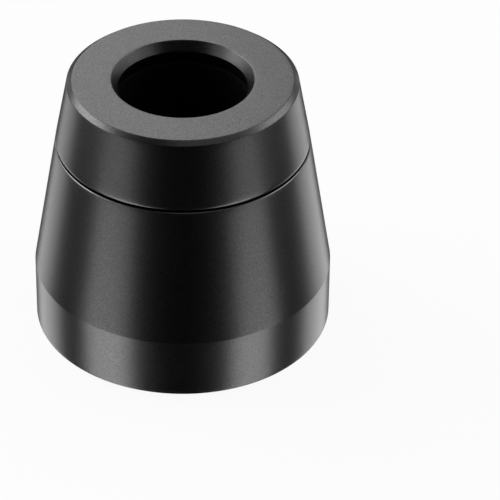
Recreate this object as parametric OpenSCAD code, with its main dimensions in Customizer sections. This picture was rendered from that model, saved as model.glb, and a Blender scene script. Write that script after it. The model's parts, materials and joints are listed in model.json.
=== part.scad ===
// Pen stand turned from black anodised aluminium.
// A cone on a straight skirt carries a screwed-on collar, and a fine joint line parts the two.
// The collar traps the flange of a blind liner, whose bore is the stand's socket.
// A steel ballast fills the hollow underside, behind a screwed plate with a non-slip pad.
// The origin is the centre of the pad's underside, and +Z points up along the bore.

/* [Outer form] */
// Diameter of the straight skirt
skirt_d = 38; // [34:0.5:44]
// Height of the metal, from its bottom rim to the top face
metal_h = 35; // [31:0.5:42]
// Height of the straight skirt
skirt_h = 8; // [5:0.5:12]
// Diameter of the cone at the shoulder, below the joint line
shoulder_d = 32.2; // [30:0.1:34]
// Diameter of the collar at its lower edge, above the joint line
collar_foot_d = 32.2; // [30:0.1:34]
// Diameter of the collar where its top chamfer starts
collar_top_d = 29; // [27:0.1:31]
// Height of the collar
collar_h = 9.1; // [7.5:0.05:11]
// Width of the top chamfer, measured across the top face
chamfer_w = 0.65; // [0.3:0.05:1]
// Height of the top chamfer
chamfer_h = 0.5; // [0.3:0.05:1]
// Radius that softens the lower corner of the top chamfer
chamfer_round_r = 0.3; // [0.1:0.05:0.5]
// Radius on the bottom rim of the skirt
rim_round_r = 0.2; // [0.1:0.05:0.5]

/* [Joint line] */
// Height of the gap between the cone and the collar
gap_h = 0.1; // [0.05:0.05:0.3]
// How far the gap runs in from the shoulder
gap_depth = 1.3; // [0.8:0.1:2]
// Radius on the collar's lower edge
collar_round_r = 0.5; // [0.2:0.05:0.6]
// Radius that breaks the shoulder's edge
shoulder_break_r = 0.15; // [0.05:0.05:0.25]

/* [Mouth and liner] */
// Diameter of the liner's bore
bore_d = 16; // [14:0.5:17.5]
// How far the liner's wall stands inside the metal throat
liner_step = 0.15; // [0.05:0.05:0.3]
// Width of the countersink, from the throat to the mouth's edge
mouth_w = 0.8; // [0.4:0.1:1.5]
// Depth of the countersink
mouth_h = 1.45; // [0.8:0.05:2]
// Thickness of the collar's roof, between the top face and the liner's flange
roof_t = 2.7; // [2.3:0.1:4]
// Thickness of the liner's wall
liner_wall = 1.1; // [0.8:0.1:1.5]
// Thickness of the liner's floor, below the cushion
liner_floor_t = 1.2; // [0.8:0.1:2]
// Radius on the outer bottom corner of the liner
liner_corner_r = 0.8; // [0.4:0.1:1.2]
// Radius on the liner's rim, which leads into the bore
liner_lead_r = 0.4; // [0.2:0.1:0.6]
// Thickness of the liner's flange
flange_t = 1.2; // [0.8:0.1:2]
// How far the flange's rim lies inside the spigot's edge
flange_inset = 1.3; // [0.8:0.1:2]
// Thickness of the soft cushion at the bottom of the bore
cushion_t = 1.5; // [1:0.1:2.5]
// Width of the step in the liner that the cushion lies inside
cushion_step = 0.4; // [0.2:0.1:0.8]
// Radius on the cushion's top edge
cushion_round_r = 0.3; // [0.1:0.1:0.5]

/* [Collar screw joint] */
// Thickness of the collar's wall beside the ceiling of its screwed bore
collar_wall = 1.8; // [1.4:0.1:2.4]
// Depth of the relief grooves where the screw threads end
relief_depth = 0.4; // [0.2:0.1:0.6]
// Height of the relief grooves
relief_h = 0.9; // [0.6:0.1:1.4]
// Lead-in chamfers of the screw threads
lead_in = 0.4; // [0.2:0.1:0.6]

/* [Ballast and base] */
// Thickness of the skirt's wall around the base plate
rim_wall = 1.7; // [1.2:0.1:2.5]
// Diameter of the steel ballast
ballast_d = 22.5; // [21:0.1:24]
// Height of the steel ballast
ballast_h = 16; // [10:0.5:20]
// Thickness of the ballast below the liner
ballast_floor_t = 3.3; // [2:0.1:6]
// Chamfer on the ballast's edges
ballast_chamfer = 0.5; // [0.2:0.1:1]
// Thickness of the base plate
plate_t = 2; // [1.5:0.1:3]
// Chamfer on the base plate's edges
plate_chamfer = 0.2; // [0.1:0.1:0.5]
// Thickness of the adhesive film that holds the pad
adhesive_t = 0.2; // [0.1:0.05:0.3]
// How far the adhesive film stays inside the pad's edge
adhesive_inset = 0.6; // [0.3:0.1:2]
// Thickness of the non-slip pad
pad_t = 1.2; // [0.8:0.1:2]
// How far the pad stands below the metal rim
pad_proud = 0.4; // [0.2:0.05:0.6]
// Radius on the pad's bottom edge
pad_round_r = 0.3; // [0.1:0.1:0.5]

/* [Base screws] */
// Number of screws in the base plate
screw_count = 3; // [2:1:6]
// Thread diameter of the screws
screw_d = 2; // [1.6:0.1:2.5]
// Length of the screws, heads included
screw_l = 6; // [5:0.5:8]
// Diameter of the countersunk heads
head_d = 3.6; // [3:0.1:4]
// Height of the straight edge of a head
head_edge_h = 0.15; // [0.1:0.05:0.3]
// Size across the flats of the key socket
socket_flats = 1.3; // [0.9:0.1:1.5]
// Depth of the key socket
socket_depth = 0.7; // [0.4:0.1:0.9]
// Depth of the tapped hole past the screw's end
tap_extra = 0.8; // [0.4:0.1:1.5]
// Metal left between a screw's head and the plate's edge
head_margin = 0.6; // [0.5:0.1:1]

/* [Fits] */
// Radial clearance of the screwed joints
screw_fit = 0.1; // [0.05:0.01:0.15]
// Radial clearance of pieces that slip together
slip_fit = 0.15; // [0.1:0.01:0.2]
// Clearance above the liner's flange
flange_fit = 0.05; // [0.02:0.01:0.1]
// Clearance above the ballast and below the liner
lift_fit = 0.2; // [0.1:0.05:0.3]
// Radial clearance around the pad
pad_fit = 0.3; // [0.2:0.05:0.5]

/* [Hidden] */
$fn = 120;

// Straight steps that stand in for each rounded corner
corner_steps = 6;
// How far a cutting shape runs past the face that it cuts
overrun = 0.5;

anodised = [0.05, 0.05, 0.055];
liner_black = [0.02, 0.02, 0.02];
cushion_grey = [0.1, 0.1, 0.1];
steel = [0.55, 0.56, 0.58];
plate_grey = [0.3, 0.3, 0.32];
film_white = [0.8, 0.79, 0.74];
rubber_black = [0.06, 0.06, 0.06];

// Radii of the outer form
skirt_r = skirt_d / 2;
shoulder_r = shoulder_d / 2;
collar_foot_r = collar_foot_d / 2;
collar_top_r = collar_top_d / 2;
land_r = shoulder_r - gap_depth;

// Heights, from the pad's underside
rim_z = pad_proud;
top_z = rim_z + metal_h;
skirt_top_z = rim_z + skirt_h;
collar_z = top_z - collar_h;
shoulder_z = collar_z - gap_h;
ceiling_z = top_z - roof_t;
flange_top_z = ceiling_z - flange_fit;
spigot_top_z = flange_top_z - flange_t;
adhesive_z = pad_t;
plate_z = adhesive_z + adhesive_t;
ledge_z = plate_z + plate_t;
ballast_top_z = ledge_z + ballast_h;
cavity_top_z = ballast_top_z + lift_fit;
ballast_floor_z = ledge_z + ballast_floor_t;
liner_z = ballast_floor_z + lift_fit;
cushion_z = liner_z + liner_floor_t;
bore_z = cushion_z + cushion_t;

// Radii of the bore, the liner and what they pass through
bore_r = bore_d / 2;
throat_r = bore_r + liner_step;
mouth_r = throat_r + mouth_w;
liner_r = bore_r + liner_wall;
liner_hole_r = liner_r + slip_fit;
cushion_seat_r = bore_r - cushion_step;
cushion_r = cushion_seat_r - slip_fit;

// Radii of the screw joint, from the collar's taper at the height of its ceiling
ceiling_share = (ceiling_z - collar_z) / (collar_h - chamfer_h);
collar_ceiling_r = collar_foot_r + (collar_top_r - collar_foot_r) * ceiling_share;
collar_bore_r = collar_ceiling_r - collar_wall;
spigot_r = collar_bore_r - screw_fit;
flange_r = spigot_r - flange_inset;

// Radii of the base
pocket_r = skirt_r - rim_wall;
plate_r = pocket_r - slip_fit;
ballast_r = ballast_d / 2;
cavity_r = ballast_r + slip_fit;
pad_r = pocket_r - pad_fit;
adhesive_r = pad_r - adhesive_inset;

// Sizes of the base screws and their holes
screw_r = screw_d / 2;
head_r = head_d / 2;
screw_circle_r = plate_r - head_margin - screw_fit - head_r;
head_cone_h = head_r - screw_r;
tap_depth = screw_l - plate_t + tap_extra;

// An outline is a list of [radius, height, corner radius], taken in order round the section.
// Each corner with a radius becomes an arc that leaves both sides smoothly.
function point(p) = [p[0], p[1]];
function unit(v) = v / norm(v);
function corner(before, at, after) =
    let (
        to_before = unit(point(before) - point(at)),
        to_after = unit(point(after) - point(at)),
        half_angle = acos(to_before * to_after) / 2,
        middle = unit(to_before + to_after),
        centre = point(at) + middle * at[2] / sin(half_angle),
        start = point(at) + to_before * at[2] / tan(half_angle) - centre,
        end = point(at) + to_after * at[2] / tan(half_angle) - centre,
        start_angle = atan2(start[1], start[0]),
        turn = atan2(start[0] * end[1] - start[1] * end[0], start * end)
    )
    [for (i = [0:corner_steps])
        centre + at[2] * [cos(start_angle + turn * i / corner_steps),
                          sin(start_angle + turn * i / corner_steps)]];
function outline(points) =
    let (count = len(points))
    [for (i = [0:count - 1])
        each points[i][2] == 0
            ? [point(points[i])]
            : corner(points[(i + count - 1) % count], points[i], points[(i + 1) % count])];

// A solid turned about the Z axis from its half section
module turned(points) {
    rotate_extrude()
        polygon(outline(points));
}

// Copies of a shape at the places of the base screws
module at_screws() {
    for (i = [0:screw_count - 1])
        rotate([0, 0, 90 + i * 360 / screw_count])
            translate([screw_circle_r, 0, 0])
                children();
}

// The lower cone and skirt, with the spigot above and the hollow underside
module body_shell() {
    color(anodised)
        difference() {
            turned([
                [liner_hole_r, cavity_top_z, 0],
                [cavity_r, cavity_top_z, 0],
                [cavity_r, ledge_z, 0],
                [pocket_r, ledge_z, 0],
                [pocket_r, rim_z, rim_round_r],
                [skirt_r, rim_z, rim_round_r],
                [skirt_r, skirt_top_z, 0],
                [shoulder_r, shoulder_z, shoulder_break_r],
                [land_r, shoulder_z, 0],
                [land_r, collar_z, 0],
                [spigot_r - relief_depth, collar_z, 0],
                [spigot_r - relief_depth, collar_z + relief_h - relief_depth, 0],
                [spigot_r, collar_z + relief_h, 0],
                [spigot_r, spigot_top_z - lead_in, 0],
                [spigot_r - lead_in, spigot_top_z, 0],
                [liner_hole_r, spigot_top_z, 0]
            ]);
            at_screws()
                translate([0, 0, ledge_z - overrun])
                    cylinder(h = tap_depth + overrun, r = screw_r + screw_fit / 2);
        }
}

// The ring above the joint line: taper, top chamfer, countersunk mouth and screwed bore
module top_collar() {
    color(anodised)
        turned([
            [collar_bore_r + lead_in, collar_z, 0],
            [collar_foot_r, collar_z, collar_round_r],
            [collar_top_r, top_z - chamfer_h, chamfer_round_r],
            [collar_top_r - chamfer_w, top_z, 0],
            [mouth_r, top_z, 0],
            [throat_r, top_z - mouth_h, 0],
            [throat_r, ceiling_z, 0],
            [collar_bore_r + relief_depth, ceiling_z, 0],
            [collar_bore_r + relief_depth, ceiling_z - relief_h + relief_depth, 0],
            [collar_bore_r, ceiling_z - relief_h, 0],
            [collar_bore_r, collar_z + lead_in, 0]
        ]);
}

// The blind liner with the stand's bore, hung by its flange on the spigot
module pen_well() {
    flange_round_r = flange_t / 4;
    color(liner_black)
        turned([
            [0, liner_z, 0],
            [liner_r, liner_z, liner_corner_r],
            [liner_r, spigot_top_z, 0],
            [flange_r, spigot_top_z, flange_round_r],
            [flange_r, flange_top_z, flange_round_r],
            [bore_r, flange_top_z, liner_lead_r],
            [bore_r, bore_z, 0],
            [cushion_seat_r, bore_z, 0],
            [cushion_seat_r, cushion_z, 0],
            [0, cushion_z, 0]
        ]);
}

// The soft disc at the bottom of the bore
module tip_cushion() {
    color(cushion_grey)
        turned([
            [0, cushion_z, 0],
            [cushion_r, cushion_z, 0],
            [cushion_r, bore_z, cushion_round_r],
            [0, bore_z, 0]
        ]);
}

// The steel weight, bored to clear the liner
module ballast() {
    color(steel)
        turned([
            [0, ledge_z, 0],
            [ballast_r - ballast_chamfer, ledge_z, 0],
            [ballast_r, ledge_z + ballast_chamfer, 0],
            [ballast_r, ballast_top_z - ballast_chamfer, 0],
            [ballast_r - ballast_chamfer, ballast_top_z, 0],
            [liner_hole_r + ballast_chamfer, ballast_top_z, 0],
            [liner_hole_r, ballast_top_z - ballast_chamfer, 0],
            [liner_hole_r, ballast_floor_z, 0],
            [0, ballast_floor_z, 0]
        ]);
}

// The cover that closes the underside, with a countersunk hole for each screw
module base_plate() {
    hole_r = screw_r + screw_fit;
    color(plate_grey)
        difference() {
            turned([
                [0, plate_z, 0],
                [plate_r - plate_chamfer, plate_z, 0],
                [plate_r, plate_z + plate_chamfer, 0],
                [plate_r, ledge_z - plate_chamfer, 0],
                [plate_r - plate_chamfer, ledge_z, 0],
                [0, ledge_z, 0]
            ]);
            at_screws() {
                translate([0, 0, plate_z - overrun])
                    cylinder(h = plate_t + 2 * overrun, r = hole_r);
                translate([0, 0, plate_z - overrun])
                    cylinder(h = head_edge_h + overrun, r = head_r + screw_fit);
                translate([0, 0, plate_z + head_edge_h])
                    cylinder(h = head_cone_h, r1 = head_r + screw_fit, r2 = hole_r);
            }
        }
}

// One countersunk screw, standing on its head with its axis on Z
module countersunk_screw() {
    tip_chamfer = screw_r / 4;
    difference() {
        turned([
            [0, 0, 0],
            [head_r, 0, 0],
            [head_r, head_edge_h, 0],
            [screw_r, head_edge_h + head_cone_h, 0],
            [screw_r, screw_l - tip_chamfer, 0],
            [screw_r - tip_chamfer, screw_l, 0],
            [0, screw_l, 0]
        ]);
        translate([0, 0, -overrun])
            cylinder(h = socket_depth + overrun, r = socket_flats / 2 / cos(30), $fn = 6);
    }
}

// The screws that hold the base plate, heads down and flush with its underside
module base_screws() {
    color(steel)
        at_screws()
            translate([0, 0, plate_z])
                countersunk_screw();
}

// The double-sided film between the base plate and the pad
module foot_adhesive() {
    color(film_white)
        translate([0, 0, adhesive_z])
            cylinder(h = adhesive_t, r = adhesive_r);
}

// The non-slip pad that the stand rests on
module foot_pad() {
    color(rubber_black)
        turned([
            [0, 0, 0],
            [pad_r, 0, pad_round_r],
            [pad_r, pad_t, 0],
            [0, pad_t, 0]
        ]);
}

body_shell();
top_collar();
pen_well();
tip_cushion();
ballast();
base_plate();
base_screws();
foot_adhesive();
foot_pad();
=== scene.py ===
# %% [markdown]
# # A turned pen stand in satin black
#
# This lesson dresses a small pen stand for a desk. The real object is turned from aluminium
# bar: a cone on a straight skirt, with a separate collar screwed on above a fine joint line.
# Both are blasted with fine beads and anodised black.
#
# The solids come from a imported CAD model, which is the frame. The stand could be modelled here
# from nothing, but the frame already has every size and place right, so each piece is made
# where the frame has it and nothing is fitted afterwards. All lengths are in metres, with +Z up
# along the bore.

# %% Load the frame
import json
import math

import bmesh
import bpy
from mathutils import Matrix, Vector


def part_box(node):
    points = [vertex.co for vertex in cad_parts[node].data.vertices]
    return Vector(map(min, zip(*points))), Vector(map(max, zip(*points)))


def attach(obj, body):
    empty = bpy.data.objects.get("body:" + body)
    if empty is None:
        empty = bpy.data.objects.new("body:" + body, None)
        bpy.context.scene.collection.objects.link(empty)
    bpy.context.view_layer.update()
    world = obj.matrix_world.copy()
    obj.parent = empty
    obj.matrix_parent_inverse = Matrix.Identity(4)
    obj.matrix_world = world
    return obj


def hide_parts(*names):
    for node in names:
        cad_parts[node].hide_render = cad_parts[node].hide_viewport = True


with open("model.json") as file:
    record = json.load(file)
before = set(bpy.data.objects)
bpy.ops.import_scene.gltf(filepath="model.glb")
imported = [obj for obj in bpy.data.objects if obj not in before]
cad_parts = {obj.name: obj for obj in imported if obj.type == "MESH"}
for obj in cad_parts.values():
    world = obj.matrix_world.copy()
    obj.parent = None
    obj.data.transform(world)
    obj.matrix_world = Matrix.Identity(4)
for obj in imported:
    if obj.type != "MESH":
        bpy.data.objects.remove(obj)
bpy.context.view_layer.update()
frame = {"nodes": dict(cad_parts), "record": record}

scene = bpy.context.scene
nodes = frame["nodes"]
record = frame["record"]
mm = 0.001
print("nodes:", ", ".join(sorted(nodes)))

# %% [markdown]
# ## The camera
#
# The stand is seen with a long lens from about eleven times its own width, so its circles are
# nearly true ellipses and its height hardly converges. A camera could be placed by eye. This
# one was fitted to the outline, the top face and the crease of the skirt, because a small error
# in its elevation shows at once in the top face.
#
# The stand's axis lies left of the middle of the picture. A sideways lens shift puts it there
# without turning the camera, so the axis stays upright.

# %% Camera
IMAGE_SIDE = 500
AXIS_COLUMN = 182.3
SENSOR_WIDTH = 36.0
LENS = 230.3
CAMERA_ELEVATION = 35.8
CAMERA_DISTANCE = 412.2 * mm
AIM_HEIGHT = 9.1 * mm
NEAREST = 1 * mm
FARTHEST = 10.0


def from_stand(azimuth, elevation, distance):
    """A point seen from the stand: azimuth 0 is the camera's side and 90 the right, in degrees."""
    turn = math.radians(azimuth)
    rise = math.radians(elevation)
    level = distance * math.cos(rise)
    return Vector((level * math.sin(turn), -level * math.cos(turn), distance * math.sin(rise)))


def aim(thing, target):
    """Turns a camera or a lamp to look at a point."""
    thing.rotation_euler = (target - thing.location).to_track_quat("-Z", "Y").to_euler()


camera_data = bpy.data.cameras.new("camera")
camera_data.sensor_width = SENSOR_WIDTH
camera_data.lens = LENS
camera_data.shift_x = ((IMAGE_SIDE - 1) / 2 - AXIS_COLUMN) / IMAGE_SIDE
camera_data.clip_start = NEAREST
camera_data.clip_end = FARTHEST
camera = bpy.data.objects.new("camera", camera_data)
scene.collection.objects.link(camera)
aim_point = Vector((0, 0, AIM_HEIGHT))
camera.location = aim_point + from_stand(0, CAMERA_ELEVATION, CAMERA_DISTANCE)
aim(camera, aim_point)
scene.camera = camera
scene.view_settings.view_transform = "Standard"
print("camera at", [round(x, 4) for x in camera.location], "shift", round(camera_data.shift_x, 4))

# %% [markdown]
# ## Nodes in few words
#
# The white backdrop and every finish of the stand are small trees of shader nodes. They could
# be drawn by hand in the node editor, but a script builds the same tree each time. One helper
# adds a node, sets it up and plugs in its inputs, so a tree reads from top to bottom like a
# recipe. A second one does sums.

# %% Helpers for nodes
def add(tree, kind, settings, inputs):
    """Adds a shader node. An input is a plain value or another node's output."""
    made = tree.nodes.new("ShaderNode" + kind)
    for name, value in settings.items():
        setattr(made, name, value)
    for key, value in inputs.items():
        if isinstance(value, bpy.types.NodeSocket):
            tree.links.new(value, made.inputs[key])
        else:
            made.inputs[key].default_value = value
    return made


def math_node(tree, operation, first, second):
    """One sum on two numbers, either of which may come from another node."""
    return add(tree, "Math", {"operation": operation}, {0: first, 1: second}).outputs[0]


print("helpers for nodes:", add.__name__, "and", math_node.__name__)

# %% [markdown]
# ## The white backdrop
#
# The stand is photographed on white. A world could simply be lit until it looks white, but that
# much light would bleach the stand as well. So this world is white to the camera, to
# reflections and through clear things, and gives only a low fill to everything else. A Light
# Path node tells these rays apart.

# %% White backdrop
WHITE = (1, 1, 1, 1)
WORLD_FILL = 0.35


def is_seen(tree):
    """1 for rays from the camera, a reflection or a clear material, and 0 for all others."""
    path = tree.nodes.new("ShaderNodeLightPath").outputs
    seen = math_node(tree, "MAXIMUM", path["Is Camera Ray"], path["Is Glossy Ray"])
    return math_node(tree, "MAXIMUM", seen, path["Is Transmission Ray"])


world = bpy.data.worlds.new("white")
scene.world = world
world.use_nodes = True
world.cycles.sampling_method = "NONE"
world_tree = world.node_tree
world_tree.nodes.clear()
strength = math_node(world_tree, "MAXIMUM", is_seen(world_tree), WORLD_FILL)
backdrop = add(world_tree, "Background", {}, {"Color": WHITE, "Strength": strength})
world_output = world_tree.nodes.new("ShaderNodeOutputWorld")
world_tree.links.new(backdrop.outputs[0], world_output.inputs["Surface"])
print("backdrop of", len(world_tree.nodes), "nodes, with a fill of", WORLD_FILL)

# %% [markdown]
# ## The floor
#
# The floor is pale and keeps a soft, faint shadow. Stronger lamps could make it white, but they
# would change the stand too, so most of its white is a glow of its own.
#
# Black metal has hardly any colour of its own, so what it mirrors makes the picture. The sides
# of the stand lean back a little and are seen from above, so they mirror what lies low around
# it. A white floor would turn them grey all over. The floor is therefore kept out of the
# reflections, as if the stand stood on a thin post with cards round it.

# %% Floor
FLOOR_GREY = (0.8, 0.8, 0.8, 1)
FLOOR_GLOW_SHARE = 0.93
FLOOR_SIDE = 6.0
FLOOR_GAP = 0.01 * mm


def blank_material(name):
    """A material with an empty tree and its output."""
    material = bpy.data.materials.new(name)
    material.use_nodes = True
    tree = material.node_tree
    tree.nodes.clear()
    output = tree.nodes.new("ShaderNodeOutputMaterial")
    return material, tree, output


def staged_sheet(name, bm, material):
    """Hands a bmesh over as a sheet of the studio, which isn't part of the object."""
    mesh = bpy.data.meshes.new(name)
    bm.to_mesh(mesh)
    bm.free()
    mesh.materials.append(material)
    sheet = bpy.data.objects.new(name, mesh)
    scene.collection.objects.link(sheet)
    return sheet


floor_material, tree, output = blank_material("pale_floor")
plain = add(tree, "BsdfDiffuse", {}, {"Color": FLOOR_GREY})
glow = add(tree, "Emission", {}, {"Color": WHITE, "Strength": 1.0})
share = math_node(tree, "MULTIPLY", is_seen(tree), FLOOR_GLOW_SHARE)
mixed = add(tree, "MixShader", {}, {0: share, 1: plain.outputs[0], 2: glow.outputs[0]})
tree.links.new(mixed.outputs[0], output.inputs["Surface"])

bm = bmesh.new()
bmesh.ops.create_grid(bm, x_segments=1, y_segments=1, size=FLOOR_SIDE / 2)
bmesh.ops.translate(bm, verts=bm.verts[:], vec=(0, 0, -FLOOR_GAP))
floor = staged_sheet("floor", bm, floor_material)
floor.visible_glossy = False
print("floor at", round(-FLOOR_GAP / mm, 3), "mm")

# %% [markdown]
# ## Softboxes
#
# Three plain softboxes stand level with each other behind the object: one on either side and a
# weaker one at the back, a little to the left. They give the flat top its even grey, light the
# chamfer and throw the soft shadow. Point lamps could light it too, but satin metal would show
# them as small hot spots.
#
# Each softbox is placed by the angles that it fills, seen from the stand, because that is what
# a mirror sees of it. Its power follows from its size and from the brightness of its face.

# %% Softboxes
LAMP_DISTANCE = 1.0


def softbox(name, azimuths, elevations, brightness):
    """A soft area lamp that faces the stand and fills these angles, seen from it, in degrees."""
    level_distance = LAMP_DISTANCE * math.cos(math.radians(sum(elevations) / 2))
    lamp = bpy.data.lights.new(name, "AREA")
    lamp.shape = "RECTANGLE"
    lamp.size = 2 * level_distance * math.tan(math.radians(azimuths[1] - azimuths[0]) / 2)
    lamp.size_y = 2 * LAMP_DISTANCE * math.tan(math.radians(elevations[1] - elevations[0]) / 2)
    lamp.energy = brightness * lamp.size * lamp.size_y * math.pi
    holder = bpy.data.objects.new(name, lamp)
    scene.collection.objects.link(holder)
    holder.location = from_stand(sum(azimuths) / 2, sum(elevations) / 2, LAMP_DISTANCE)
    aim(holder, aim_point)
    holder.visible_camera = False
    print(name, "power", round(lamp.energy, 2), "W")


softbox("left_softbox", azimuths=(-137, -83), elevations=(26, 48), brightness=5.5)
softbox("right_softbox", azimuths=(83, 137), elevations=(26, 48), brightness=2.95)
softbox("back_softbox", azimuths=(-184, -136), elevations=(24, 50), brightness=2.2)

# %% [markdown]
# ## Cards
#
# Photographers shape dark metal with cards: a black one gives a deep black band, a white one a
# light band with a soft end. Such bands could be painted on the metal, but then they would turn
# along with the stand. Here each card is an arc of points, swept sideways round the stand by a
# spin, and it glows as brightly as its band needs. Only reflections see a card, so it neither
# lights the floor nor throws a shadow, and it needn't be sampled as a lamp.

# %% How a card is made
CARD_STEP = 6


def card(name, azimuths, elevations, distance, brightness):
    """A card bent round the stand between these angles, in degrees. A black one doesn't glow."""
    bm = bmesh.new()
    rise = elevations[1] - elevations[0]
    rows = math.ceil(rise / CARD_STEP)
    heights = [elevations[0] + rise * row / rows for row in range(rows + 1)]
    arc = [bm.verts.new(from_stand(azimuths[0], height, distance)) for height in heights]
    sides = [bm.edges.new(pair) for pair in zip(arc, arc[1:])]
    sweep = azimuths[1] - azimuths[0]
    bmesh.ops.spin(bm, geom=arc + sides, cent=(0, 0, 0), axis=(0, 0, 1), dvec=(0, 0, 0),
                   angle=math.radians(sweep), steps=math.ceil(sweep / CARD_STEP),
                   use_merge=False, use_duplicate=False)
    material, tree, output = blank_material(name)
    glow = add(tree, "Emission", {}, {"Color": WHITE, "Strength": brightness})
    tree.links.new(glow.outputs[0], output.inputs["Surface"])
    material.cycles.emission_sampling = "NONE"
    sheet = staged_sheet(name, bm, material)
    sheet.visible_camera = False
    sheet.visible_diffuse = False
    sheet.visible_transmission = False
    sheet.visible_shadow = False
    print(name, "spans", sweep, "degrees at brightness", brightness)


print("a card has a point at least every", CARD_STEP, "degrees")

# %% [markdown]
# ## Black and dim cards
#
# The front of the real stand is almost black, because it mirrors nothing light. The backdrop
# could be darkened as a whole, but then the picture's own white would go too. So black cards
# shut it out where the front looks: a pit below the stand, a wall before it and a roof over it.
# A dim roof, higher up, lifts the front of the chamfer out of the black, and a dim wall behind
# the stand darkens the chamfer's two ends.

# %% Black and dim cards
DARK_DISTANCE = 2.0
NEARLY_DOWN = -89
NEARLY_UP = 89
PIT_TOP = -15
ROOF_FOOT = 41
ROOF_STEP = 52
card("dark_pit", (-180, 180), (NEARLY_DOWN, PIT_TOP), DARK_DISTANCE, brightness=0)
card("dark_front", (-48, 48), (PIT_TOP, ROOF_FOOT), DARK_DISTANCE, brightness=0.02)
card("dark_roof", (-90, -20), (ROOF_FOOT, NEARLY_UP), DARK_DISTANCE, brightness=0)
card("low_roof", (-20, 90), (ROOF_FOOT, ROOF_STEP), DARK_DISTANCE, brightness=0)
card("dim_roof", (-20, 90), (ROOF_STEP, 80), DARK_DISTANCE, brightness=0.43)
card("dim_back", (125, 235), (PIT_TOP, 24), DARK_DISTANCE, brightness=0.2)

# %% [markdown]
# ## Light cards
#
# The two soft bands beside the black are the mirror images of light things low at either side.
# Softboxes could stand there, but they would light the floor and the top face too. So these are
# cards as well, a little nearer than the black pit: a strip on either side for the two bands,
# and a panel on either side further back for the light edges. The leaning cone mirrors higher
# things than the upright skirt, and its bands are darker, so the tops of these cards are
# dimmer. One more panel at the left and two low strips at the height of the mouth light the
# countersink.

# %% Light cards
LIGHT_DISTANCE = 1.5
BAND_STEP = -29
PANEL_FOOT = -80
card("left_strip", (-80, -42), (NEARLY_DOWN, BAND_STEP), LIGHT_DISTANCE, brightness=4.25)
card("left_strip_top", (-76, -41), (BAND_STEP, -19), LIGHT_DISTANCE, brightness=3.45)
card("right_strip", (39, 71), (NEARLY_DOWN, BAND_STEP), LIGHT_DISTANCE, brightness=3.95)
card("right_strip_top", (41, 73), (BAND_STEP, -19), LIGHT_DISTANCE, brightness=3.5)
card("left_panel", (-150, -113), (PANEL_FOOT, BAND_STEP), LIGHT_DISTANCE, brightness=1.85)
card("left_panel_top", (-150, -117), (BAND_STEP, -17), LIGHT_DISTANCE, brightness=1.25)
card("right_panel", (109, 150), (PANEL_FOOT, BAND_STEP), LIGHT_DISTANCE, brightness=2.07)
card("right_panel_top", (114, 150), (BAND_STEP, -17), LIGHT_DISTANCE, brightness=1.57)
card("left_side_panel", (-115, -72), (-6, 26), LIGHT_DISTANCE, brightness=2.4)
card("left_rim_strip", (-150, -115), (0, 9), LIGHT_DISTANCE, brightness=1.7)
card("right_rim_strip", (98, 150), (0, 9), LIGHT_DISTANCE, brightness=1.9)

# %% [markdown]
# ## What a finish is made of
#
# No piece of the real stand is one flat colour up close. An image could show that, but it would
# have to be unwrapped onto each piece. A noise on the object's own coordinates has its real
# size at once and runs over every edge without a seam. So each finish is put together from a
# few small helpers: a noise, a range of values, a mix of colours, a bump and the shader itself.

# %% Helpers for finishes
MIX_SHARE = 0
MIX_FIRST = 6
MIX_SECOND = 7
MIX_RESULT = 2


def grey(level):
    """A neutral colour as light as this."""
    return (level, level, level, 1)


def noise(tree, size, detail):
    """A cloudy pattern in space, with clouds of about this size. More detail breaks them up."""
    place = tree.nodes.new("ShaderNodeTexCoord").outputs["Object"]
    settings = {"Vector": place, "Scale": 1 / size, "Detail": detail}
    return add(tree, "TexNoise", {}, settings).outputs[0]


def between(tree, share, low, high):
    """Runs from low to high as share runs from 0 to 1."""
    return add(tree, "MapRange", {}, {"Value": share, "To Min": low, "To Max": high}).outputs[0]


def mixed_color(tree, share, first, second):
    """A colour between two others. A Mix node's colour sockets are known by their number."""
    sockets = {MIX_SHARE: share, MIX_FIRST: first, MIX_SECOND: second}
    return add(tree, "Mix", {"data_type": "RGBA"}, sockets).outputs[MIX_RESULT]


def bumped(tree, height, depth):
    """A surface normal with this height pattern pressed into it, this deep."""
    return add(tree, "Bump", {}, {"Height": height, "Distance": depth}).outputs[0]


def shade(tree, output, metallic, color, roughness, normal):
    """The shader at the end of every finish."""
    shader = add(tree, "BsdfPrincipled", {}, {"Base Color": color, "Metallic": metallic,
                                              "Roughness": roughness, "Normal": normal})
    tree.links.new(shader.outputs[0], output.inputs["Surface"])
    return shader


print("a mix takes its colours from sockets", MIX_FIRST, "and", MIX_SECOND)

# %% [markdown]
# ## Matt finishes
#
# The liner is matt moulded plastic, the cushion and the pad are rubber, and a white film holds the
# pad. A plain rough shader could do for all four, but then they would look like one thing. So each
# has a grain of its own, which shifts the colour and dents the surface, under wider clouds that
# shift the roughness. The liner is set far darker than black plastic is, as painted shade down the
# deep bore.

# %% Matt plastic, rubber and film
GRAIN_DETAIL = 3.0
MATT_CLOUD = 3 * mm
MATT_CLOUD_DETAIL = 2.0
MATT_SPREAD = 0.05


def matt(name, dark, light, roughness, gloss, grain_size, grain_depth):
    """A matt moulded or rubbery surface with a fine grain. The gloss is how much it mirrors."""
    material, tree, output = blank_material(name)
    grain = noise(tree, grain_size, GRAIN_DETAIL)
    clouds = noise(tree, MATT_CLOUD, MATT_CLOUD_DETAIL)
    color = mixed_color(tree, grain, dark, light)
    rough = between(tree, clouds, roughness - MATT_SPREAD, roughness + MATT_SPREAD)
    normal = bumped(tree, grain, grain_depth)
    shader = shade(tree, output, metallic=0.0, color=color, roughness=rough, normal=normal)
    shader.inputs["Specular IOR Level"].default_value = gloss
    return material


# The liner's colour is darker than its real plastic: painted shade of the deep bore.
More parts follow.
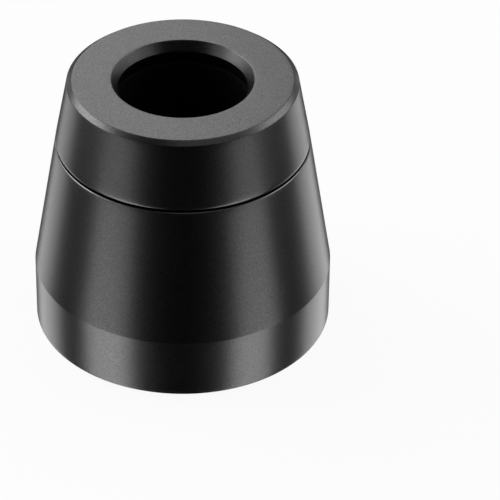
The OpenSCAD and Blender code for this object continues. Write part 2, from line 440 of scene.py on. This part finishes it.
liner_black = matt("liner_black", dark=grey(0.001), light=grey(0.003), roughness=0.8, gloss=0.03,
                   grain_size=0.25 * mm, grain_depth=0.008 * mm)
cushion_grey = matt("cushion_grey", dark=(0.02, 0.02, 0.022, 1), light=(0.06, 0.06, 0.062, 1),
                    roughness=0.9, gloss=0.3, grain_size=0.2 * mm, grain_depth=0.05 * mm)
pad_black = matt("pad_black", dark=grey(0.025), light=grey(0.045), roughness=0.8, gloss=0.4,
                 grain_size=0.35 * mm, grain_depth=0.03 * mm)
film_white = matt("film_white", dark=(0.74, 0.73, 0.68, 1), light=(0.82, 0.81, 0.76, 1),
                  roughness=0.45, gloss=0.5, grain_size=0.8 * mm, grain_depth=0.004 * mm)
print("matt finishes of", len(liner_black.node_tree.nodes), "nodes each")

# %% [markdown]
# ## Rings, and rubbed edges with a painted highlight
#
# A lathe leaves fine rings round a piece, and hands and tools rub its outer edges. Rings could be
# cut into the mesh, but they are finer than its faces. So they are a noise along a way that
# crosses them. Every turned piece carries that way as a number on its points, and a second number
# says where an edge gets rubbed and lightened. The lighter colour there is partly real wear and
# partly a painted highlight, a thin light line along the edge. A noise breaks the lightened edge
# up in patches.

# %% Rings, and rubbed edges with a painted highlight
PATCH_SIZE = 0.6 * mm
PATCH_DETAIL = 3.0
EDGE_FALL = 2.0


def rings(tree, way, spacing, detail):
    """Rings about this far apart, along a way that another node gives in metres."""
    turns = math_node(tree, "DIVIDE", way, spacing)
    return add(tree, "TexNoise", {"noise_dimensions": "1D"},
               {"W": turns, "Scale": 1.0, "Detail": detail}).outputs[0]


def attribute(tree, name):
    """A number that a turned piece carries on its points."""
    return add(tree, "Attribute", {"attribute_name": name}, {}).outputs["Fac"]


def wear_and_highlight_share(tree):
    """How far an edge is rubbed and lightened, as wear and as a painted highlight: the edge
    attribute, broken up in patches.
    """
    edge = math_node(tree, "POWER", attribute(tree, "edge"), EDGE_FALL)
    return math_node(tree, "MULTIPLY", edge, noise(tree, PATCH_SIZE, PATCH_DETAIL))


print("rubbed patches are about", round(PATCH_SIZE / mm, 2), "mm wide")

# %% [markdown]
# ## Black anodised metal
#
# Bead blasting leaves a field of tiny dents in the aluminium, and anodising keeps them and dyes
# the metal black. The stand shows it in three ways: the sides are an even satin, the top face
# is grainier, and the countersink is left as turned and shows fine rings. One recipe makes all
# three, with more or less of each.
#
# The grain could be all bump, but dents as small as these twinkle from pixel to pixel and a
# denoiser smears them. So most of it is a change of colour, over a shallow bump. Away from the
# rubbed edges with their painted highlight, the roughness stays at 0.28 or more. Cycles treats
# smoother metal as a mirror when it guides the denoiser, and the grain would blur.

# %% Black anodised metal
ANODISED_LEVEL = 0.061
# Rubbed edges get this lighter colour: partly real wear, partly a painted highlight along the
# edge.
WEAR_AND_HIGHLIGHT_LEVEL = 0.25
SATIN_ROUGHNESS = 0.295
SATIN_SPREAD = 0.015
RUBBED_SHINE = 0.1
DENT_SIZE = 0.17 * mm
DENT_DETAIL = 1.0
SATIN_CLOUD = 2.5 * mm
SATIN_CLOUD_DETAIL = 3.0
MARK_SPACING = 0.15 * mm
MARK_DETAIL = 2.0


def anodised(name, contrast, dent_depth, mark_depth):
    """Blasted and anodised metal: fine grain, lathe rings, and edges lightened by wear and by a
    painted highlight.
    """
    material, tree, output = blank_material(name)
    dents = noise(tree, DENT_SIZE, DENT_DETAIL)
    clouds = noise(tree, SATIN_CLOUD, SATIN_CLOUD_DETAIL)
    marks = rings(tree, attribute(tree, "tool_path"), MARK_SPACING, MARK_DETAIL)
    wear_and_highlight = wear_and_highlight_share(tree)
    dark = grey(ANODISED_LEVEL * (1 - contrast))
    light = grey(ANODISED_LEVEL * (1 + contrast))
    color = mixed_color(tree, dents, dark, light)
    # Rubbed edges turn lighter here, as wear and as a painted highlight line.
    color = mixed_color(tree, wear_and_highlight, color, grey(WEAR_AND_HIGHLIGHT_LEVEL))
    rough = between(tree, clouds, SATIN_ROUGHNESS - SATIN_SPREAD, SATIN_ROUGHNESS + SATIN_SPREAD)
    rough = math_node(tree, "SUBTRACT", rough, math_node(tree, "MULTIPLY", wear_and_highlight, RUBBED_SHINE))
    mark_height = math_node(tree, "MULTIPLY", marks, mark_depth / dent_depth)
    normal = bumped(tree, math_node(tree, "ADD", dents, mark_height), dent_depth)
    shade(tree, output, metallic=1.0, color=color, roughness=rough, normal=normal)
    return material


satin_black = anodised("satin_black", contrast=0.5, dent_depth=0.006 * mm, mark_depth=0.002 * mm)
grainy_black = anodised("grainy_black", contrast=0.8, dent_depth=0.006 * mm, mark_depth=0.002 * mm)
turned_black = anodised("turned_black", contrast=0.3, dent_depth=0.003 * mm, mark_depth=0.02 * mm)
print("anodised finishes of", len(satin_black.node_tree.nodes), "nodes each")

# %% [markdown]
# ## Plain turned metal
#
# The ballast is bright steel and the base plate is duller. Both are faced on a lathe, so rings
# run round the axis, and the small screws simply share the ballast's finish. An anisotropic
# shader could stretch the highlight as such rings do, but up close they have to show one by
# one. These pieces come from the frame without a way along their section. So their rings follow
# the radius plus the height, which grows across a flat face and up a wall alike.

# %% Plain turned metal
FACING_DETAIL = 3.0
FACING_SHINE = 0.06
FACING_DULLNESS = 0.08
TONE_CLOUD = 1.5 * mm
TONE_CLOUD_DETAIL = 3.0


def bare_metal(name, dark, light, roughness, spacing, depth):
    """Bare or plated metal with the rings of its facing cut round the axis."""
    material, tree, output = blank_material(name)
    coordinates = tree.nodes.new("ShaderNodeTexCoord").outputs["Object"]
    place = add(tree, "SeparateXYZ", {}, {"Vector": coordinates}).outputs
    level = add(tree, "CombineXYZ", {}, {"X": place["X"], "Y": place["Y"]}).outputs[0]
    radius = add(tree, "VectorMath", {"operation": "LENGTH"}, {0: level}).outputs["Value"]
    facing = rings(tree, math_node(tree, "ADD", radius, place["Z"]), spacing, FACING_DETAIL)
    color = mixed_color(tree, noise(tree, TONE_CLOUD, TONE_CLOUD_DETAIL), dark, light)
    rough = between(tree, facing, roughness - FACING_SHINE, roughness + FACING_DULLNESS)
    normal = bumped(tree, facing, depth)
    shade(tree, output, metallic=1.0, color=color, roughness=rough, normal=normal)
    return material


bright_steel = bare_metal("bright_steel", dark=(0.48, 0.49, 0.5, 1), light=(0.6, 0.61, 0.64, 1),
                          roughness=0.3, spacing=0.15 * mm, depth=0.004 * mm)
plain_plate = bare_metal("plain_plate", dark=(0.26, 0.26, 0.28, 1), light=(0.34, 0.34, 0.36, 1),
                         roughness=0.38, spacing=0.2 * mm, depth=0.005 * mm)
print("bare finishes of", len(bright_steel.node_tree.nodes), "nodes each")

# %% [markdown]
# ## The pieces and their places
#
# The pieces of the real stand fit each other, so they share heights and radii. These could be
# typed again here, but then a change in the frame would leave them behind. They are read from
# the frame's boxes instead. The few sizes inside a piece, such as a chamfer or a groove, have
# names of their own where the piece is made.

# %% Sizes from the frame
def bottom(node):
    """The height of a node's lowest point."""
    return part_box(node)[0].z


def top(node):
    """The height of a node's highest point."""
    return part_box(node)[1].z


def reach(node):
    """The largest radius of a round node."""
    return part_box(node)[1].x


bore = next(mount for mount in record["mounts"] if mount["name"] == "pen_bore")
bore_r = bore["dims"]["r_mm"] * mm
skirt_r = reach("body_shell")
rim_z = bottom("body_shell")
spigot_top_z = top("body_shell")
collar_z = bottom("top_collar")
top_z = top("top_collar")
liner_z = bottom("pen_well")
flange_top_z = top("pen_well")
flange_r = reach("pen_well")
cushion_z = bottom("tip_cushion")
bore_z = top("tip_cushion")
cushion_r = reach("tip_cushion")
ledge_z = bottom("ballast")
ballast_top_z = top("ballast")
ballast_r = reach("ballast")
pad_top_z = top("foot_pad")
pad_r = reach("foot_pad")
print("skirt radius", round(skirt_r / mm, 2), "top face at", round(top_z / mm, 2), "mm")

# %% [markdown]
# ## Sections with rounded corners
#
# Each piece that is made here is round about one axis, whether the real one is turned, moulded
# or punched. It could be cut from a cylinder, but it is drawn as a turner draws it: one half of
# its section, which is later swept round the axis. That keeps every size in view.
#
# A section starts as one flat face with sharp corners, each with a radius, a height and a
# rounding. A vertex bevel rounds the corners, because no real edge is sharp and the rounding is
# what catches the light. Then only the outline is kept, and a few cuts shorten its long sides,
# so that the skin has no long thin faces.

# %% Section of a piece
ARC_STEPS = 8
LONGEST_SIDE = 0.6 * mm


def round_corner(bm, vert, radius):
    """Rounds one corner of a flat section. The bevel's offset is what it takes off each side."""
    sides = [edge.other_vert(vert).co - vert.co for edge in vert.link_edges]
    offset = radius / math.tan(sides[0].angle(sides[1]) / 2)
    bmesh.ops.bevel(bm, geom=[vert], offset=offset, offset_type="OFFSET", segments=ARC_STEPS,
                    profile=0.5, affect="VERTICES", material=-1)


def draw_section(bm, corners):
    """Draws the outline of a half section from its [radius, height, rounding] corners."""
    section = [bm.verts.new((radius, 0, height)) for radius, height, _ in corners]
    bm.faces.new(section)
    for vert, (_, _, rounding) in zip(section, corners):
        if rounding:
            round_corner(bm, vert, rounding)
    bmesh.ops.delete(bm, geom=bm.faces[:], context="FACES_ONLY")
    for side in bm.edges[:]:
        cuts = int(side.calc_length() / LONGEST_SIDE)
        if cuts and max(vert.co.x for vert in side.verts) > 0:
            bmesh.ops.subdivide_edges(bm, edges=[side], cuts=cuts)


print("a rounding has", ARC_STEPS, "steps, and no side is over", round(LONGEST_SIDE / mm, 2), "mm")

# %% [markdown]
# ## Marks for the finishes
#
# Two attributes tell the finishes where they are on a piece. "tool_path" is the way along the
# section, which a turning tool follows. It could be read off the radius, but that doesn't change
# along an upright wall. "edge" is highest on an edge that hands and tools rub and that gets a
# painted highlight, and fades beside it. Both are written on the flat section, and the sweep
# carries them round.

# %% Attributes of a section
EDGE_REACH = 0.22 * mm


def corner_point(corner):
    """Where a section's corner lies before it is rounded."""
    radius, height, _ = corner
    return Vector((radius, 0, height))


def walk(first):
    """The points of a closed outline in order, from its first one, each with the way to it."""
    path = [(first, 0.0)]
    way = 0.0
    before = None
    here = first
    while True:
        nexts = [edge.other_vert(here) for edge in here.link_edges]
        ahead = nexts[0] if nexts[0] != before else nexts[1]
        if ahead == first:
            return path
        way += (ahead.co - here.co).length
        path.append((ahead, way))
        before, here = here, ahead


def mark_section(bm, start, wear_and_highlight):
    """Writes both attributes on a section. The way starts at one corner, and the other given
    corners are rubbed edges with a painted highlight.
    """
    tool_path = bm.verts.layers.float["tool_path"]
    edge = bm.verts.layers.float["edge"]
    first = min(bm.verts, key=lambda vert: (vert.co - corner_point(start)).length)
    points = [corner_point(corner) for corner in wear_and_highlight]
    for vert, way in walk(first):
        vert[tool_path] = way
        near = min([(vert.co - point).length for point in points], default=EDGE_REACH)
        vert[edge] = max(0.0, 1 - near / EDGE_REACH)


print("a rubbed edge fades over", round(EDGE_REACH / mm, 2), "mm")

# %% [markdown]
# ## Once round the axis
#
# A spin sweeps the section through a full turn and merges its last step with its first. Sides
# that lie on the axis would sweep to nothing, so they go first, and what is left of them meets
# in a pole. A Screw modifier could sweep it too, but a spin gives the mesh at once, so that its
# open sides can be counted and its volume measured.
#
# The last steps turn the faces outward and mark the edges that stay sharp. A Weighted Normal
# modifier makes the large faces rule the shading, so that flats stay flat up to a rounding.

# %% How a piece is turned
SPIN_STEPS = 192
SHARP_ANGLE = math.radians(22)
MERGE_DISTANCE = 0.0005 * mm
LARGE_FACE_WEIGHT = 100


def finish_piece(name, bm, material):
    """Turns the faces outward, smooths the round ones and hands the mesh over as a piece."""
    bmesh.ops.recalc_face_normals(bm, faces=bm.faces[:])
    for face in bm.faces:
        face.smooth = True
    for side in bm.edges:
        side.smooth = side.calc_face_angle(0) < SHARP_ANGLE
    open_sides = sum(1 for side in bm.edges if len(side.link_faces) != 2)
    mesh = bpy.data.meshes.new(name)
    bm.to_mesh(mesh)
    print(name, "faces", len(bm.faces), "open sides", open_sides,
          "volume in mm3", round(bm.calc_volume() / mm ** 3, 1))
    bm.free()
    mesh.materials.append(material)
    piece = bpy.data.objects.new(name, mesh)
    scene.collection.objects.link(piece)
    weighted = piece.modifiers.new("even shading", "WEIGHTED_NORMAL")
    weighted.keep_sharp = True
    weighted.weight = LARGE_FACE_WEIGHT
    return piece


def turned(name, corners, material, wear_and_highlight=()):
    """Turns a half section about the Z axis. The last argument lists the corners whose edges wear
    and get a painted highlight.
    """
    bm = bmesh.new()
    bm.verts.layers.float.new("tool_path")
    bm.verts.layers.float.new("edge")
    draw_section(bm, corners)
    mark_section(bm, corners[0], wear_and_highlight)
    on_axis = [side for side in bm.edges if max(vert.co.x for vert in side.verts) < MERGE_DISTANCE]
    bmesh.ops.delete(bm, geom=on_axis, context="EDGES")
    bmesh.ops.spin(bm, geom=bm.verts[:] + bm.edges[:], cent=(0, 0, 0), axis=(0, 0, 1),
                   dvec=(0, 0, 0), angle=2 * math.pi, steps=SPIN_STEPS, use_merge=True,
                   use_duplicate=False)
    bmesh.ops.remove_doubles(bm, verts=bm.verts[:], dist=MERGE_DISTANCE)
    return finish_piece(name, bm, material)


print("a full turn has", SPIN_STEPS, "steps")

# %% [markdown]
# ## Sizes of the body
#
# On the real body the liner slides into the bore, the ballast drops into the hollow underside
# and the collar screws down on a raised land. All of these could be drawn at touching sizes,
# but then nothing could be put together and no joint would show. So each radius and height
# follows from its neighbour and a named fit.

# %% Sizes of the body
SKIRT_H = 8.0 * mm
SHOULDER_R = 16.1 * mm
JOINT_H = 0.1 * mm
JOINT_DEPTH = 1.3 * mm
RIM_WALL = 1.7 * mm
SLIP_FIT = 0.15 * mm
LIFT_FIT = 0.2 * mm
LINER_WALL = 1.1 * mm
SPIGOT_R = 12.99 * mm
RELIEF_DEPTH = 0.4 * mm
RELIEF_H = 0.9 * mm
LEAD_IN = 0.4 * mm

liner_r = bore_r + LINER_WALL
hole_r = liner_r + SLIP_FIT
cavity_r = ballast_r + SLIP_FIT
cavity_top_z = ballast_top_z + LIFT_FIT
pocket_r = skirt_r - RIM_WALL
shoulder_z = collar_z - JOINT_H
land_r = SHOULDER_R - JOINT_DEPTH
groove_r = SPIGOT_R - RELIEF_DEPTH
print("joint", round(JOINT_H / mm, 2), "mm high and", round(JOINT_DEPTH / mm, 2), "mm deep")

# %% [markdown]
# ## The body
#
# The lower cone is one turning: skirt, cone, the land that the collar seats on, the spigot with
# its relief groove, the bore for the liner and the hollow underside. The outside alone could
# be made, but the underside and the joint show when the stand is picked up, so the section has
# them all. The crease between skirt and cone gets a hint of a radius, as every real edge has.
# The shoulder's edge is only broken, so it draws a thin line beside the joint. That edge and the
# rim at the foot are the two that get rubbed, and their lighter colour also paints a highlight
# along them.

# %% Body
SHOULDER_ROUND = 0.15 * mm
RIM_ROUND = 0.2 * mm
CREASE_ROUND = 0.8 * mm
SMALL_ROUND = 0.08 * mm

rim_edge = [skirt_r, rim_z, RIM_ROUND]
shoulder_edge = [SHOULDER_R, shoulder_z, SHOULDER_ROUND]

# The rim and the shoulder's edge are rubbed, and their lighter colour is partly a painted
# highlight.
turned_body = turned("turned_body", [
    [hole_r, cavity_top_z, SMALL_ROUND],
    [cavity_r, cavity_top_z, 0],
    [cavity_r, ledge_z, SMALL_ROUND],
    [pocket_r, ledge_z, 0],
    [pocket_r, rim_z, RIM_ROUND],
    rim_edge,
    [skirt_r, rim_z + SKIRT_H, CREASE_ROUND],
    shoulder_edge,
    [land_r, shoulder_z, 0],
    [land_r, collar_z, SMALL_ROUND],
    [groove_r, collar_z, 0],
    [groove_r, collar_z + RELIEF_H - RELIEF_DEPTH, SMALL_ROUND],
    [SPIGOT_R, collar_z + RELIEF_H, SMALL_ROUND],
    [SPIGOT_R, spigot_top_z - LEAD_IN, SMALL_ROUND],
    [SPIGOT_R - LEAD_IN, spigot_top_z, SMALL_ROUND],
    [hole_r, spigot_top_z, SMALL_ROUND],
], satin_black, wear_and_highlight=(rim_edge, shoulder_edge))
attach(turned_body, "root")
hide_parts("body_shell")

# %% [markdown]
# ## The collar
#
# The collar continues the cone above the joint. Its lower edge is well rounded, so the joint
# shows as a dark line under a soft one. The line could be drawn in the finish, but only a real
# gap stays right from every side. The top face is flat, with a small chamfer outside and a
# deeper countersink round the mouth, both with an edge that is rounded just enough to glint.

# %% Collar
COLLAR_FOOT_R = 16.1 * mm
COLLAR_FOOT_ROUND = 0.5 * mm
COLLAR_TOP_R = 14.5 * mm
CHAMFER_W = 0.65 * mm
CHAMFER_H = 0.5 * mm
CHAMFER_FOOT_ROUND = 0.12 * mm
CHAMFER_TOP_ROUND = 0.18 * mm
LINER_STEP = 0.15 * mm
MOUTH_W = 0.78 * mm
MOUTH_H = 1.24 * mm
MOUTH_ROUND = 0.1 * mm
FLANGE_FIT = 0.05 * mm
SCREW_FIT = 0.1 * mm

throat_r = bore_r + LINER_STEP
mouth_r = throat_r + MOUTH_W
ceiling_z = flange_top_z + FLANGE_FIT
collar_bore_r = SPIGOT_R + SCREW_FIT

collar_ring = turned("collar_ring", [
    [collar_bore_r + LEAD_IN, collar_z, SMALL_ROUND],
    [COLLAR_FOOT_R, collar_z, COLLAR_FOOT_ROUND],
    [COLLAR_TOP_R, top_z - CHAMFER_H, CHAMFER_FOOT_ROUND],
    [COLLAR_TOP_R - CHAMFER_W, top_z, CHAMFER_TOP_ROUND],
    [mouth_r, top_z, MOUTH_ROUND],
    [throat_r, top_z - MOUTH_H, SMALL_ROUND],
    [throat_r, ceiling_z, SMALL_ROUND],
    [collar_bore_r + RELIEF_DEPTH, ceiling_z, 0],
    [collar_bore_r + RELIEF_DEPTH, ceiling_z - RELIEF_H + RELIEF_DEPTH, SMALL_ROUND],
    [collar_bore_r, ceiling_z - RELIEF_H, SMALL_ROUND],
    [collar_bore_r, collar_z + LEAD_IN, SMALL_ROUND],
], satin_black)
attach(collar_ring, "root")
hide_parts("top_collar")

# %% [markdown]
# ## The collar's top and countersink
#
# On the real collar the top face shows more grain than the sides, and the countersink shows
# rings instead. Three finishes on one piece could be three separate pieces, but the collar is
# one turning, so it keeps one mesh and each face picks its finish by where it lies.

# %% Finishes on the collar
TOP_FINISH = 1
MOUTH_FINISH = 2
collar_ring.data.materials.append(grainy_black)
collar_ring.data.materials.append(turned_black)
for face in collar_ring.data.polygons:
    if face.center.z > top_z - SMALL_ROUND / 2:
        face.material_index = TOP_FINISH
    elif face.center.z > ceiling_z and face.center.xy.length < mouth_r:
        face.material_index = MOUTH_FINISH
chosen = [face.material_index for face in collar_ring.data.polygons]
print("faces on top", chosen.count(TOP_FINISH), "in the mouth", chosen.count(MOUTH_FINISH))

# %% [markdown]
# ## The liner
#
# A moulded liner keeps whatever stands in the bore off the metal. It hangs by a flange that the
# collar traps, and its floor has a step for a soft disc. The frame's solid could stay as it is,
# but a moulding has softer corners than a turning, and its lip is the first thing that light
# reaches in the bore. So it is turned again with those corners rounded.

# %% Liner
LINER_CORNER_ROUND = 0.8 * mm
LINER_LIP_ROUND = 0.4 * mm
CUSHION_STEP = 0.4 * mm
FLANGE_ROUND = 0.3 * mm

seat_r = bore_r - CUSHION_STEP
bore_liner = turned("bore_liner", [
    [0, liner_z, 0],
    [liner_r, liner_z, LINER_CORNER_ROUND],
    [liner_r, spigot_top_z, SMALL_ROUND],
    [flange_r, spigot_top_z, FLANGE_ROUND],
    [flange_r, flange_top_z, FLANGE_ROUND],
    [bore_r, flange_top_z, LINER_LIP_ROUND],
    [bore_r, bore_z, SMALL_ROUND],
    [seat_r, bore_z, SMALL_ROUND],
    [seat_r, cushion_z, 0],
    [0, cushion_z, 0],
], liner_black)
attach(bore_liner, "root")
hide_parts("pen_well")

# %% [markdown]
# ## The cushion
#
# A soft disc lies at the bottom of the liner and saves the tip of what is put in. It is slightly
# crowned, with a shallow dimple in the middle from use. Cloth simulation could inflate such a
# pad, but this one is a stiff little disc that hardly gives, so a section with wide roundings
# says the same.

# %% Cushion
CROWN = 0.12 * mm
DIMPLE_FLOOR_R = 1.1 * mm
CUSHION_ROUND = 0.45 * mm

dimple_z = bore_z - 2 * CROWN
soft_disc = turned("soft_disc", [
    [0, cushion_z, 0],
    [cushion_r, cushion_z, CUSHION_ROUND / 2],
    [cushion_r, bore_z - CROWN, CUSHION_ROUND],
    [cushion_r / 2, bore_z, 2 * CUSHION_ROUND],
    [DIMPLE_FLOOR_R, dimple_z, CUSHION_ROUND],
    [0, dimple_z, 0],
], cushion_grey)
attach(soft_disc, "root")
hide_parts("tip_cushion")

# %% [markdown]
# ## The non-slip pad
#
# The pad is punched from sheet rubber and stuck on. It could be left as a plain disc, but its
# edge shows as a thin dark line where the stand meets the floor, so its lower edge is rounded.
# The sheet's moulded grain is in its finish.

# %% Pad
PAD_ROUND = 0.3 * mm

grip_pad = turned("grip_pad", [
    [0, 0, 0],
    [pad_r, 0, PAD_ROUND],
    [pad_r, pad_top_z, SMALL_ROUND],
    [0, pad_top_z, 0],
], pad_black)
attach(grip_pad, "root")
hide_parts("foot_pad")

# %% [markdown]
# ## What stays as it is
#
# The ballast, the base plate, its screws and the film are plain forms, hidden by the pad. They
# could be made again as well, but they are right as they come from the frame, so they only get
# their finishes.

# %% Finishes on the frame's own nodes
for node, material in (("ballast", bright_steel), ("base_screws", bright_steel),
                       ("base_plate", plain_plate), ("foot_adhesive", film_white)):
    nodes[node].data.materials.clear()
    nodes[node].data.materials.append(material)
    print(node, "is", material.name)
